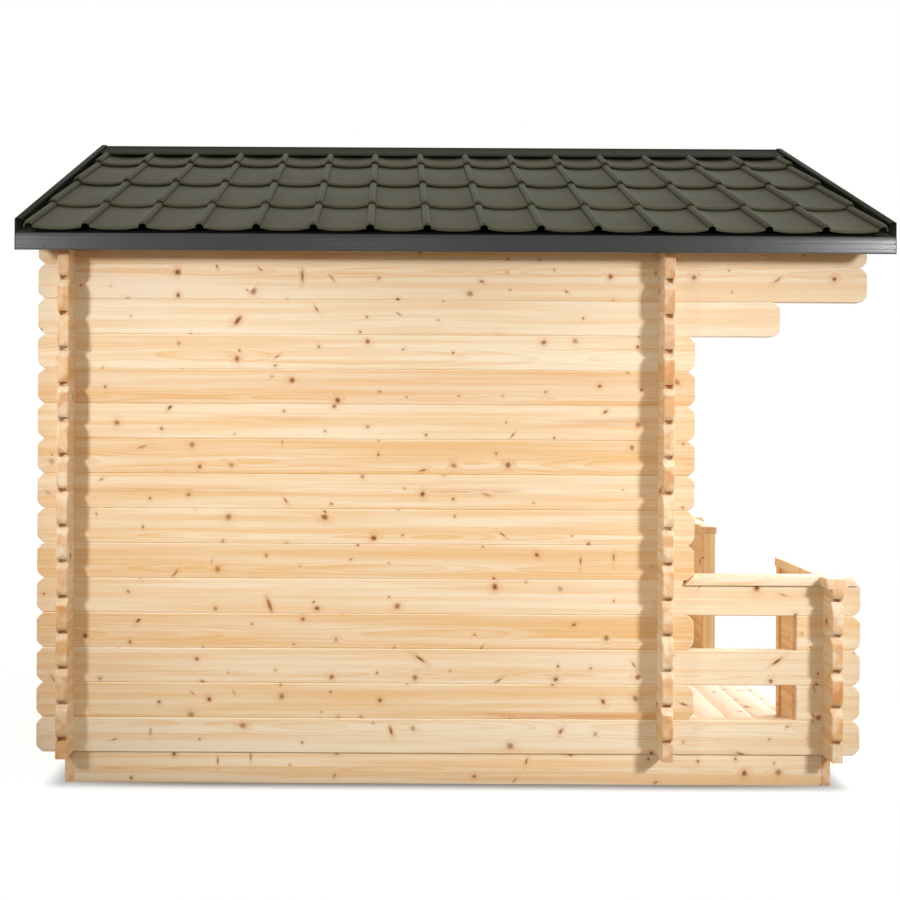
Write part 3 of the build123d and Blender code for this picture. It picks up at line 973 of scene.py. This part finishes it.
cap_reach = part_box("ridge_cap")[1].x
cap_rise = 0.0915
crown_run = slope_length + cap_rise * math.tan(roof_pitch)
crown_bead = 0.0055
wing_profile = [
    (0.1395, 0.0825),
    (0.1375, 0.0905),
    (0.075, 0.0915),
    (0.071, 0.0895),
    (0.067, 0.0915),
    (0.012, 0.0915),
    (0.010, 0.0950),
]


def ridge_side(side):
    """Section of the cap's wing on one slope, from its hem up to the crown's bead."""
    return [on_slope(side, crown_run - down, rise) for down, rise in wing_profile]


crown = (0, on_slope(-1, crown_run, cap_rise)[1] + crown_bead)
section = [*ridge_side(-1), crown, *reversed(ridge_side(1))]
path = [(-cap_reach, *place) for place in section]
cap = folded_trim(path, (2 * cap_reach, 0, 0), (0, 0, 1), tight_bend)
finish_piece("folded_ridge_cap", [cap], "roof_tiles", "ridge_cap", material=ridge_paint)

fascia_return = 0.012
fascia_inset = 0.0002
fascia_lap = 0.12
crease_heights = (0.62, 0.3)
crease_half = 0.004
crease_depth = 0.00025
for side_name, side in sides.items():
    low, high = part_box(f"{side_name}_eave_fascia")
    front = side * (max(abs(low.y), abs(high.y)) - fascia_inset)
    section = [on_slope(side, fascia_lap, tile_seat + 0.001), (front, high.z)]
    for share in crease_heights:
        crease = low.z + share * (high.z - low.z)
        section.append((front, crease + crease_half))
        section.append((front - side * crease_depth, crease))
        section.append((front, crease - crease_half))
    section += [(front, low.z), (front - side * fascia_return, low.z)]
    path = [(low.x, *place) for place in section]
    fascia = folded_trim(path, (high.x - low.x, 0, 0), (0, side, 0), tight_bend)
    node = f"{side_name}_eave_fascia"
    finish_piece(f"{side_name}_folded_fascia", [fascia], "roof_trim", node, material=trim_paint)

verge_low = -0.010
verge_top = 0.101
verge_flange = 0.025
verge_hem = 0.010
verge_tray = 0.072
verge_gap = 0.0005
verge_start = -0.06
verge_length = slope_length + 0.18
tray_height = tile_seat + 0.0015
roof_half = -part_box("rear_verge_trims")[0].x
plate_profile = [
    (0.008, verge_low + 0.004),
    (0.003, verge_low),
    (0, verge_low + 0.003),
    (0, verge_top - 0.001),
    (0.0125, verge_top),
    (verge_flange, verge_top - 0.001),
    (verge_flange, verge_top - verge_hem),
]
tray_profile = [(0.002, tile_seat + 0.012), (0.002, tray_height), (verge_tray, tray_height)]
for end_name, end in (("rear", -1), ("front", 1)):
    lengths = []
    for side in sides.values():
        for profile, outward in ((plate_profile, (end, 0, 0.5)), (tray_profile, (0, 0, 1))):
            path = [(end * roof_half - end * inset, verge_start, height) for inset, height in profile]
            trim_sheet = folded_trim(path, (0, verge_length, 0), outward, verge_bend)
            trim_upright(trim_sheet, 0, -1)
            trim_upright(trim_sheet, slope_length - verge_gap, 1)
            if side > 0:
                trim_sheet.data.transform(Matrix.Diagonal((-1, 1, 1, 1)))
                turn_over(trim_sheet)
            lay_on_slope(trim_sheet, side)
            lengths.append(trim_sheet)
    node = f"{end_name}_verge_trims"
    finish_piece(f"{end_name}_folded_verges", lengths, "roof_trim", node, material=ridge_paint)

# Door: a planed frame that lines the doorway, and a framed leaf with one tall pane of glass.
# Stiles and rails are doweled, and a bead holds the glass.

leaf_low, leaf_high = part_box("door_leaf")
glass_low, glass_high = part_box("door_glass")
door_frame_thickness = 0.040
stile_width = 0.110
bottom_rail = 0.180
bead = 0.010
bead_set_back = 0.004
door_easing = 0.003
sill_body = 0.02
sill_nosing = 0.008


def add_joinery(through, across, height, along):
    """One part of the door, from its spans through, across and up the doorway."""
    return add_plank(*zip(through, across, height), along, door_easing)


def add_surround(through, outer, inner, height, opening):
    """Two uprights with a lower and an upper rail between them."""
    return [
        add_joinery(through, (-outer, -inner), height, 2),
        add_joinery(through, (inner, outer), height, 2),
        add_joinery(through, (-inner, inner), (height[0], opening[0]), 1),
        add_joinery(through, (-inner, inner), (opening[1], height[1]), 1),
    ]


def on_sill_nose(corners):
    return all(c.x > door_high.x - just and c.z > door_low.z + sill_body for c in corners)


through = (door_low.x, door_high.x)
jamb_height = (door_low.z, door_high.z)
jamb_face = door_high.y - door_frame_thickness
parts = [
    add_joinery(through, (-door_high.y, -jamb_face), jamb_height, 2),
    add_joinery(through, (jamb_face, door_high.y), jamb_height, 2),
    add_joinery(through, (-jamb_face, jamb_face), (door_high.z - door_frame_thickness, door_high.z), 1),
]
finish_piece("door_lining", parts, "door_wood", "door_frame")

sill = add_timber(*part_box("door_threshold"))
ease_edges(sill, sill_nosing, on_sill_nose, 3)
smooth_piece(sill)
mark_grain(sill, 1)
finish_piece("door_sill_board", [sill], "door_wood", "door_threshold")

light_half = leaf_high.y - stile_width
light = (leaf_low.z + bottom_rail, leaf_high.z - stile_width)
leaf_height = (leaf_low.z, leaf_high.z)
parts = add_surround((leaf_low.x, leaf_high.x), leaf_high.y, light_half, leaf_height, light)
bead_opening = (light[0] + bead, light[1] - bead)
for through in (
    (leaf_low.x + bead_set_back, glass_low.x),
    (glass_high.x, leaf_high.x - bead_set_back),
):
    parts += add_surround(through, light_half, light_half - bead, light, bead_opening)
finish_piece("door_leaf_joinery", parts, "door_wood", "door_leaf")

# Toughened glass with a faint tint and faint dust
glass_easing = 0.0008
glass_tint = (0.86, 0.90, 0.88, 1)
door_pane, nodes, shader = start_material("door glass")
where = add_node(nodes, "TexCoord")["Object"]
dust = add_node(nodes, "TexNoise", {"Scale": 9.0, "Detail": 4.0, "Vector": where})["Fac"]
haze = add_node(nodes, "MapRange", {"To Min": 0.01, "To Max": 0.05, "Value": dust})["Result"]
feed(shader, {"Base Color": glass_tint, "Roughness": haze, "Transmission Weight": 1.0, "IOR": 1.5})
pane = add_timber(glass_low, glass_high)
ease_edges(pane, glass_easing, segments=1)
finish_piece("door_glass_pane", [pane], "door_glass", "door_glass", material=door_pane)

# A square pull bar on two feet, with rounded edges
handle_low, handle_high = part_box("door_handle")
bar_depth = 0.030
bar_easing = 0.009
foot_height = 0.030
foot_inset = 0.003
foot_easing = 0.005
bar_start = (handle_high.x - bar_depth, handle_low.y, handle_low.z)
parts = [add_plank(bar_start, handle_high, 2, bar_easing, 4)]
for foot in (handle_low.z + foot_height, handle_high.z - 2 * foot_height):
    low = (handle_low.x, handle_low.y + foot_inset, foot)
    high = (handle_high.x - bar_depth / 2, handle_high.y - foot_inset, foot + foot_height)
    parts.append(add_plank(low, high, 0, foot_easing))
finish_piece("door_pull_handle", parts, "door_wood", "door_handle")

# Three lift-off hinges of bright zinc-plated steel between the leaf and its frame.
# Each is a turned barrel of two knuckles on one pin, with a fine groove where they meet.

hinge_steel = painted_metal("hinge steel", (0.55, 0.55, 0.53), 0.28, 1.0)
hinge_low, hinge_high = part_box("door_hinges")
hinge_radius = (hinge_high.x - hinge_low.x) / 2
hinge_length = 0.090
hinge_easing = 0.002
hinge_sides = 32
groove_half = 0.001
hinge_axis = ((hinge_low.x + hinge_high.x) / 2, (hinge_low.y + hinge_high.y) / 2)
hinge_spacing = (hinge_high.z - hinge_low.z - hinge_length) / 2


def is_level(corners):
    return abs(corners[0].z - corners[1].z) < just


def in_groove(corners):
    return all(abs(c.z - middle) < groove_half * 1.1 for c in corners) and len(corners) == 4


hinges = []
for number in range(3):
    middle = hinge_low.z + hinge_length / 2 + number * hinge_spacing
    place = (*hinge_axis, middle)
    bpy.ops.object.select_all(action="DESELECT")
    bpy.ops.mesh.primitive_cylinder_add(
        vertices=hinge_sides, radius=hinge_radius, depth=hinge_length, location=place
    )
    bpy.ops.object.transform_apply(location=True, rotation=True, scale=True)
    hinge = bpy.context.object
    ease_edges(hinge, hinge_easing, is_level, 2)
    for edge in (-groove_half, groove_half):
        trim(hinge, (0, 0, middle + edge), (0, 0, 1), closed=False, sawn_off=False)
    open_piece(hinge, "FACE", in_groove)
    bpy.ops.transform.shrink_fatten(value=-groove_half)
    close_piece()
    smooth_piece(hinge)
    hinges.append(hinge)
finish_piece("door_hinge_knuckles", hinges, "hinge_steel", "door_hinges", material=hinge_steel)

# Studio: a plain pale floor that keeps the cabin's shadow, with a painted contact shadow at its base, and
# fades to white further out.
# A white surround and nine soft lamps, most of them near eave height, light the cabin evenly.

floor_size = 60
floor_drop = 0.0005
fade_reach = (3.2, 2.8)
fade_span = (0.5, 0.8)
painted_shadow_reach = 0.10
painted_shadow_glow = (0.10, 0.87)


def background_rays(nodes):
    """One for rays from the camera, from gloss and through glass, which all see the white background."""
    path = add_node(nodes, "LightPath")
    rays = path["Is Camera Ray"]
    for kind in ("Is Glossy Ray", "Is Transmission Ray"):
        rays = maths(nodes, "MAXIMUM", rays, path[kind])
    return rays


bpy.ops.object.select_all(action="DESELECT")
bpy.ops.mesh.primitive_plane_add(size=floor_size, location=(0, 0, -floor_drop))
studio_floor = bpy.context.object
studio_floor.name = "studio_floor"
floor_paint, nodes, shader = start_material("studio floor")
feed(shader, {"Base Color": (0.2, 0.2, 0.2, 1), "Roughness": 0.9, "Specular IOR Level": 0.0})
seen = background_rays(nodes)
where = add_node(nodes, "TexCoord")["Object"]
shrink = (1 / fade_reach[0], 1 / fade_reach[1], 1)
out_from_middle = add_node(nodes, "Mapping", {"Scale": shrink, "Vector": where})["Vector"]
out_from_middle = add_node(nodes, "VectorMath", {0: out_from_middle}, operation="LENGTH")["Value"]
white_part = maths(nodes, "MULTIPLY", smooth_rise(nodes, out_from_middle, *fade_span), seen)
# Painted shadow: the floor's glow is held low near the cabin's footprint and rises outwards, a painted
# contact shadow around the base over the floor's real shade.
footprint_middle = ((base_low.x + base_high.x) / 2, 0, 0)
footprint_half = ((base_high.x - base_low.x) / 2, base_reach, 1)
outside = where
for operation, amount in (
    ("SUBTRACT", footprint_middle),
    ("ABSOLUTE", (0, 0, 0)),
    ("SUBTRACT", footprint_half),
    ("MAXIMUM", (0, 0, 0)),
):
    outside = add_node(nodes, "VectorMath", {0: outside, 1: amount}, operation=operation)["Vector"]
outside = add_node(nodes, "VectorMath", {0: outside}, operation="LENGTH")["Value"]
glow_with_painted_shadow = maths(nodes, "MULTIPLY", seen, smooth_rise(nodes, outside, 0, painted_shadow_reach, *painted_shadow_glow))
glow = add_node(nodes, "Emission", {"Strength": glow_with_painted_shadow})[0]
lifted = add_node(nodes, "AddShader", {0: shader.outputs[0], 1: glow})[0]
white = add_node(nodes, "Emission")[0]
blend = add_node(nodes, "MixShader", {"Fac": white_part, 1: lifted, 2: white})[0]
feed(nodes["Material Output"], {"Surface": blend})
studio_floor.data.materials.append(floor_paint)

surround_low = 0.56
surround_high = 0.64
surround_tint = (1.0, 0.81, 0.58, 1)
world = bpy.data.worlds.new("studio")
bpy.context.scene.world = world
world.use_nodes = True
nodes = world.node_tree.nodes
seen = background_rays(nodes)
toward = add_node(nodes, "TexCoord")["Generated"]
height = add_node(nodes, "SeparateXYZ", {0: toward})["Z"]
glow = {"To Min": surround_low, "To Max": surround_high, "Value": height}
strength = {"A": add_node(nodes, "MapRange", glow)["Result"], "B": 1.0, "Factor": seen}
tint = {"A": surround_tint, "B": (1, 1, 1, 1), "Factor": seen}
strength = add_node(nodes, "Mix", strength)["Result"]
tint = add_node(nodes, "Mix", tint, data_type="RGBA")["Result"]
feed(nodes["Background"], {"Strength": strength, "Color": tint})


def soft_lamp(name, place, aim, power, size, spread):
    """A large soft lamp, turned towards a point on the cabin."""
    lamp = bpy.data.lights.new(name, "AREA")
    lamp.shape = "RECTANGLE"
    lamp.size, lamp.size_y = size
    lamp.energy = power
    lamp.spread = math.radians(spread)
    body = bpy.data.objects.new(name, lamp)
    bpy.context.collection.objects.link(body)
    body.location = place
    body.rotation_euler = (Vector(aim) - Vector(place)).to_track_quat("-Z", "Y").to_euler()


left_stand = (-3.4, -4.6, 2.35)
right_stand = (3.35, -4.6, 2.35)
soft_lamp("left low lamp", left_stand, (-0.95, -1.25, 0.5), 4.9, (0.55, 0.4), 46)
soft_lamp("left high lamp", left_stand, (-0.85, -1.25, 1.75), 6.7, (0.55, 0.4), 46)
soft_lamp("right low lamp", right_stand, (1.0, -1.36, 0.4), 8.5, (0.6, 0.4), 46)
soft_lamp("right high lamp", right_stand, (0.95, -1.36, 2.0), 6.4, (0.6, 0.4), 46)
soft_lamp("right wide lamp", right_stand, (-0.2, -1.2, 1.2), 10, (0.8, 0.5), 150)
soft_lamp("middle lamp", (-0.35, -5.5, 2.35), (-0.35, -1.2, 1.4), 0.6, (0.9, 0.5), 60)
soft_lamp("porch lamp", (3.6, 0.5, 3.2), (1.1, 0.0, 0.1), 32, (1.2, 1.2), 110)
soft_lamp("rear left lamp", (-3.6, 4.6, 2.6), (-0.5, 1.2, 1.2), 45, (1.2, 1.2), 150)
soft_lamp("rear right lamp", (3.6, 4.6, 2.6), (0.5, 1.2, 1.2), 55, (1.2, 1.2), 150)

# Camera: square on to the long side, a little above half the cabin's height.
# The lens is shifted, as in the photo, so that upright edges stay upright.

picture_size = 900
vanishing_point = (391.8, 395.6)
focal_pixels = 1226.5
picture_roll = math.radians(0.3)
lens = bpy.data.cameras.new("camera")
lens.sensor_width = 36
lens.lens = focal_pixels * lens.sensor_width / picture_size
lens.shift_x = 0.5 - vanishing_point[0] / picture_size
lens.shift_y = vanishing_point[1] / picture_size - 0.5
camera = bpy.data.objects.new("camera", lens)
bpy.context.collection.objects.link(camera)
camera.location = (-0.234, -5.92, 1.506)
camera.rotation_euler = (math.radians(90), -picture_roll, 0)
bpy.context.scene.camera = camera
bpy.context.scene.view_settings.view_transform = "Standard"
